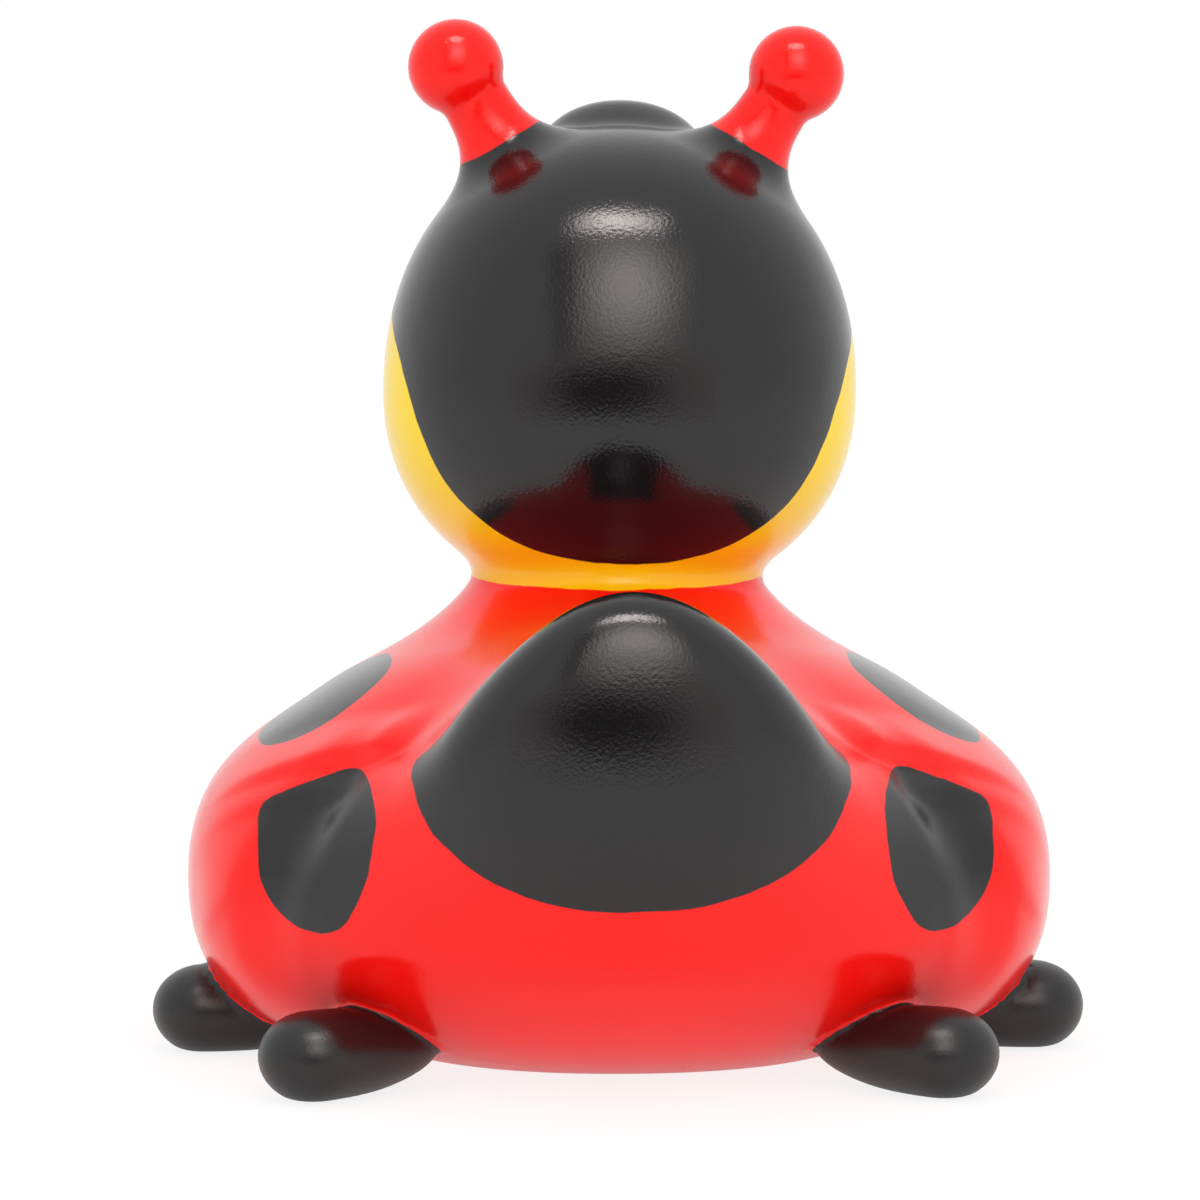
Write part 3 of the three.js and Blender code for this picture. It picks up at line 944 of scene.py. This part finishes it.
@dataclass
class ShaderGraph:
    """One material's nodes."""

    name: str

    def __post_init__(self) -> None:
        """Makes an empty material."""
        self.material = bpy.data.materials.new(self.name)
        self.material.use_nodes = True
        self.tree = self.material.node_tree
        self.tree.nodes.clear()

    def node(
        self,
        kind: str,
        settings: Optional[dict[str, object]] = None,
        inputs: Optional[dict[Union[int, str], Input]] = None,
        output: Union[int, str] = 0,
    ) -> Signal:
        """Adds a node.

        Args:
            kind: The node's type.
            settings: Its properties, which are set first.
            inputs: Values or links of its sockets.
            output: Which output is wanted.

        Returns:
            That output.
        """
        node = self.tree.nodes.new(kind)
        for key, value in (settings or {}).items():
            setattr(node, key, value)
        for key, value in (inputs or {}).items():
            socket = node.inputs[key]
            if isinstance(value, Signal):
                self.tree.links.new(value.socket, socket)
            else:
                socket.default_value = value
        return Signal(self, node.outputs[output])

    def attribute(self, name: str) -> Signal:
        """Reads a number that the mesh carries."""
        return self.node("ShaderNodeAttribute", {"attribute_name": name}, output="Fac")

    def mix(self, share: Signal, a: Input, b: Input) -> Signal:
        """Goes from colour a to colour b as share goes from 0 to 1."""
        settings = {"data_type": "RGBA"}
        return self.node("ShaderNodeMix", settings, {0: share, 6: a, 7: b}, output=2)

    def noise(self, place: Signal, scale: float, detail: float) -> Signal:
        """Soft noise from 0 to 1 in the object's own space."""
        return self.node("ShaderNodeTexNoise", {}, {"Vector": place, "Scale": scale, "Detail": detail})

    def finish(self, surface: Signal) -> bpy.types.Material:
        """Puts a shader on the surface and gives the material."""
        output = self.tree.nodes.new("ShaderNodeOutputMaterial")
        self.tree.links.new(surface.socket, output.inputs["Surface"])
        return self.material


class Paint(Enum):
    """The paints, and a painted red reflection for the yellow, as linear colours."""

    RED = (0.96, 0.0050, 0.0025, 1)
    WORN_RED = (0.93, 0.0046, 0.0022, 1)
    YELLOW = (0.97, 0.70, 0.0015, 1)
    # Painted reflection: the red body's light bouncing onto the yellow under the head, shading it to amber
    # near the neck.
    PAINTED_RED_REFLECTION = (0.96, 0.47, 0.0010, 1)
    BLACK = (0.0056, 0.0050, 0.0056, 1)
    ORANGE = (0.92, 0.20, 0.0030, 1)
    WHITE = (0.85, 0.85, 0.83, 1)


@dataclass(frozen=True)
class PaintedVinyl:
    """Glossy paint on soft vinyl, with a fine pebbled skin."""

    roughness: float = 0.15
    black_roughness: float = 0.145
    feet_roughness: float = 0.34
    refraction: float = 1.4
    black_refraction: float = 1.53
    # How far above the neck line, in mm, and how strongly the painted red reflection tints the yellow.
    red_reflection_reach: float = 4.8
    red_reflection_share: float = 0.85
    edge_softness: float = 0.10
    edge_wobble: float = 0.35
    pebble_scale: float = 3400.0
    pebble_height: float = 0.00002
    wave_scale: float = 160.0
    wave_height: float = 0.00006
    wobble_scale: float = 330.0
    tint_scale: float = 90.0
    smudge_scale: float = 60.0
    smudge_depth: float = 0.05

    def build(self) -> bpy.types.Material:
        """Makes the material from the mesh's paint edges."""
        g = ShaderGraph("painted_rubber")
        place = g.node("ShaderNodeTexCoord", output="Object")
        wobble = (g.noise(place, self.wobble_scale, 2.0) - 0.5) * self.edge_wobble
        tint = g.noise(place, self.tint_scale, 2.0)
        colour = g.mix(tint, Paint.RED.value, Paint.WORN_RED.value)

        def cover(name: str) -> Signal:
            """How fully one paint covers the surface."""
            return (0.5 - (g.attribute(name) + wobble) / self.edge_softness).limited()

        # Painted reflection: the yellow turns amber towards the neck, where the red body below reflects into
        # it.
        reflection_cover = (1 - g.attribute("above_neck") / self.red_reflection_reach).limited() * self.red_reflection_share
        yellow = g.mix(reflection_cover, Paint.YELLOW.value, Paint.PAINTED_RED_REFLECTION.value)
        colour = g.mix(cover("head_edge"), colour, yellow)
        colour = g.mix(cover("bill_edge"), colour, Paint.ORANGE.value)
        antennae = cover("antennae_edge")
        eyes = cover("eyes_edge") * (1 - cover("bill_edge"))
        black = cover("hood_edge").highest(cover("tail_spot_edge")).highest(cover("wing_spots_edge"))
        black = black.highest(cover("feet_edge")).highest(eyes)
        colour = g.mix(black, colour, Paint.BLACK.value)
        colour = g.mix(antennae, colour, Paint.RED.value)
        black = black * (1 - antennae)
        glint = cover("glints_edge")
        colour = g.mix(glint, colour, Paint.WHITE.value)
        smudge = (g.noise(place, self.smudge_scale, 3.0) - 0.5) * self.smudge_depth
        roughness = self.roughness + black * (self.black_roughness - self.roughness)
        roughness = roughness + cover("feet_edge") * (self.feet_roughness - self.black_roughness)
        roughness = roughness + smudge
        height = g.noise(place, self.pebble_scale, 2.0) * (self.pebble_height / self.wave_height)
        height = height + g.noise(place, self.wave_scale, 1.0)
        bump = g.node(
            "ShaderNodeBump",
            {},
            {"Strength": 1.0, "Distance": self.wave_height, "Height": height},
            output="Normal",
        )
        paints = [
            g.node(
                "ShaderNodeBsdfPrincipled",
                {},
                {"Base Color": colour, "Roughness": roughness, "Normal": bump, "IOR": refraction},
            )
            for refraction in (self.refraction, self.black_refraction)
        ]
        return g.finish(g.node("ShaderNodeMixShader", {}, {0: black, 1: paints[0], 2: paints[1]}))


@dataclass
class RubberDuck:
    """The whole duck as one painted moulding."""

    form: DuckForm = field(default_factory=DuckForm)
    cell: float = 0.62
    quick_cell: float = 1.0
    grid_room: float = 2.0
    wing_spots: Sequence[Spot] = (
        Spot(
            middle=(25.9, 22.4, 21.65),
            across=(-1, 0, 0),
            upwards=(0, 0, 1),
            radius=6.4,
            waves=((2, 1.45, 90.7),),
            depth=12.0,
            cuts=((337.7, 5.1), (113.4, 4.0)),
        ),
        Spot(
            middle=(25.4, 3.0, 31.0),
            across=(0.79, 0, -0.61),
            upwards=(0, 1, 0),
            radius=8.1,
            waves=((2, 1.5, 90.0),),
            depth=7.0,
        ),
    )

    def mesh(self) -> bpy.types.Object:
        """Builds the skin with the paints' edges as attributes."""
        cell = self.cell
        form = self.form
        top = form.head_top_z + form.ball_above_head + form.ball_radius
        low = -np.array([form.middle_foot_reach, form.bill_reach, 0]) - self.grid_room
        high = np.array([form.middle_foot_reach, form.tail_reach, top]) + self.grid_room
        points, faces = Skin(form.outside, low, high, cell).build()
        data = bpy.data.meshes.new("rubber_duck")
        data.vertices.add(len(points))
        data.vertices.foreach_set("co", (points * MM).astype(np.float32).ravel())
        data.loops.add(faces.size)
        data.loops.foreach_set("vertex_index", faces.astype(np.int32).ravel())
        data.polygons.add(len(faces))
        data.polygons.foreach_set("loop_start", np.arange(0, faces.size, 4, dtype=np.int32))
        data.polygons.foreach_set("use_smooth", np.ones(len(faces), bool))
        data.update(calc_edges=True)
        data.validate()
        for name, values in PaintMap(form).layers(*points.T).items():
            attribute = data.attributes.new(name, "FLOAT", "POINT")
            attribute.data.foreach_set("value", values.astype(np.float32))
        duck = bpy.data.objects.new("rubber_duck", data)
        bpy.context.scene.collection.objects.link(duck)
        return duck

    def paint(self, duck: bpy.types.Object) -> bpy.types.Object:
        """Runs the spot tree over the skin and makes its result a plain mesh."""
        material = PaintedVinyl().build()
        tree = SpotTree(self.wing_spots).build(material)
        modifier = duck.modifiers.new("wing_spots", "NODES")
        modifier.node_group = tree
        units = next(s for s in tree.interface.items_tree if s.name == "Units for Each mm")
        modifier[units.identifier] = MM
        graph = bpy.context.evaluated_depsgraph_get()
        painted = bpy.data.meshes.new_from_object(duck.evaluated_get(graph))
        duck.modifiers.remove(modifier)
        duck.data = painted
        return duck

    def build(self) -> bpy.types.Object:
        """Makes the duck and ties it to the frame."""
        duck = self.paint(self.mesh())
        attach(duck, "root")
        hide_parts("duck")
        log.info("rubber_duck: %d faces", len(duck.data.polygons))
        return duck


@dataclass(frozen=True)
class Panel:
    """One part of the tent that shows in the gloss, by its angles from the duck, in degrees.

    side is measured from the camera's upright plane towards +X, rise from level upwards in that plane.
    Its strength goes softly from peak_strength at its peak to edge_strength, and never below 0.
    """

    name: str
    distance: float
    side: tuple[float, float]
    rise: tuple[float, float]
    edge_strength: float
    peak_strength: float
    peak: tuple[float, float] = (0.0, 0.0)
    peak_reach: tuple[float, float] = (1.0, 1.0)
    tint: tuple[float, float, float, float] = (1.0, 0.93, 0.90, 1.0)
    lights_surfaces: bool = False


@dataclass
class LightTent:
    """A white tent with a window behind the camera, a pale lit floor and the camera."""

    target: tuple[float, float, float] = (0.0016, 0.0, 0.0389)
    elevation: float = 6.0
    yaw: float = 1.85
    distance: float = 0.6
    pixels_for_each_mm: float = 11.6
    image_size: int = 1200
    tent_strength: float = 0.9
    floor_albedo: float = 0.6
    floor_glow: float = 0.36
    floor_white: float = 1.05
    floor_shadow: float = 0.3
    floor_half_size: float = 8.0
    sensor_width: float = 36.0
    farthest: float = 50.0
    panel_steps: int = 16
    panels: Sequence[Panel] = (
        Panel("window", 1.5, (-27, 16.7), (4, 63), 1.0, 4.9, (-4, 41), (14, 20), lights_surfaces=True),
        Panel("ceiling_lamp", 1.5, (-15, 16), (67, 79), 2.0, 15.0, (0, 73), (12, 7)),
        Panel("window_post", 1.5, (16.7, 26.5), (0, 62), 0.5, 0.5),
        Panel("dark_sill", 0.4, (-42, 48), (-12, 16), 0.9, -0.35, (5, 3), (24, 7.5)),
    )

    def back(self) -> Vector:
        """Direction from the target to the camera."""
        yaw, rise = math.radians(self.yaw), math.radians(self.elevation)
        return Vector((math.sin(yaw) * math.cos(rise), math.cos(yaw) * math.cos(rise), math.sin(rise)))

    def camera(self) -> bpy.types.Object:
        """Makes the camera at the photograph's viewing angle."""
        data = bpy.data.cameras.new("camera")
        data.sensor_width = self.sensor_width
        focal_pixels = self.pixels_for_each_mm * self.distance / MM
        data.lens = focal_pixels * self.sensor_width / self.image_size
        data.clip_end = self.farthest
        camera = bpy.data.objects.new("camera", data)
        bpy.context.scene.collection.objects.link(camera)
        turn = self.back().to_track_quat("Z", "Y").to_matrix()
        place = Vector(self.target) + self.back() * self.distance
        camera.matrix_world = Matrix.Translation(place) @ turn.to_4x4()
        bpy.context.scene.camera = camera
        return camera

    def world(self) -> None:
        """Lights the tent evenly in white."""
        world = bpy.data.worlds.new("tent")
        world.use_nodes = True
        background = world.node_tree.nodes["Background"]
        background.inputs["Color"].default_value = (1, 1, 1, 1)
        background.inputs["Strength"].default_value = self.tent_strength
        bpy.context.scene.world = world

    def staged(self, name: str, data: bpy.types.Mesh) -> bpy.types.Object:
        """Puts a mesh of the stage in the scene."""
        thing = bpy.data.objects.new(name, data)
        bpy.context.scene.collection.objects.link(thing)
        return thing

    def floor(self) -> bpy.types.Object:
        """Makes a pale table top that is lit a little from below and keeps the duck's shadow."""
        g = ShaderGraph("pale_floor")
        matt = g.node("ShaderNodeBsdfDiffuse", {}, {"Color": (self.floor_albedo,) * 3 + (1,)})
        glow = g.node("ShaderNodeEmission", {}, {"Color": (1, 1, 1, 1), "Strength": self.floor_glow})
        lit = g.node("ShaderNodeAddShader", {}, {0: matt, 1: glow})
        white = g.node("ShaderNodeEmission", {}, {"Color": (1, 1, 1, 1), "Strength": self.floor_white})
        camera_ray = g.node("ShaderNodeLightPath", output="Is Camera Ray")
        share = camera_ray * (1 - self.floor_shadow)
        half = self.floor_half_size
        data = bpy.data.meshes.new("floor")
        corners = [(-half, -half, 0), (half, -half, 0), (half, half, 0), (-half, half, 0)]
        data.from_pydata(corners, [], [(0, 1, 2, 3)])
        data.materials.append(g.finish(g.node("ShaderNodeMixShader", {}, {0: share, 1: lit, 2: white})))
        return self.staged("floor", data)

    def panel(self, panel: Panel) -> bpy.types.Object:
        """Makes one panel of the tent, which the camera doesn't see."""
        count = self.panel_steps + 1
        yaw = math.radians(self.yaw)
        forth = np.array([math.sin(yaw), math.cos(yaw), 0])
        aside = np.array([math.cos(yaw), -math.sin(yaw), 0])
        sides, rises = np.meshgrid(np.linspace(*panel.side, count), np.linspace(*panel.rise, count))
        a, e = np.radians(sides.ravel()), np.radians(rises.ravel())
        outwards = (np.cos(a) * np.cos(e))[:, None] * forth + np.sin(a)[:, None] * aside
        outwards[:, 2] = np.cos(a) * np.sin(e)
        points = np.array(self.target) * (0, 0, 1) + panel.distance * outwards
        corner = [j * count + i for j in range(self.panel_steps) for i in range(self.panel_steps)]
        data = bpy.data.meshes.new(panel.name)
        data.from_pydata(points.tolist(), [], [(n, n + 1, n + count + 1, n + count) for n in corner])
        off = ((sides - panel.peak[0]) / panel.peak_reach[0]) ** 2
        off = off + ((rises - panel.peak[1]) / panel.peak_reach[1]) ** 2
        shade = panel.edge_strength + (panel.peak_strength - panel.edge_strength) * np.exp(-off)
        strength = data.attributes.new("strength", "FLOAT", "POINT")
        strength.data.foreach_set("value", np.maximum(shade, 0).ravel().astype(np.float32))
        g = ShaderGraph(panel.name)
        inputs = {"Color": panel.tint, "Strength": g.attribute("strength")}
        data.materials.append(g.finish(g.node("ShaderNodeEmission", {}, inputs)))
        thing = self.staged(panel.name, data)
        thing.visible_camera = False
        thing.visible_diffuse = panel.lights_surfaces
        thing.visible_shadow = False
        return thing

    def build(self) -> None:
        """Sets up the tent."""
        self.world()
        self.floor()
        self.camera()
        for panel in self.panels:
            self.panel(panel)
        log.info("light tent ready")


def main() -> None:
    """Builds the duck and its tent."""
    logging.basicConfig(level=logging.INFO, format="%(name)s: %(message)s")
    bpy.context.scene.view_settings.view_transform = "Standard"
    RubberDuck().build()
    LightTent().build()


if __name__ == "__main__":
    main()
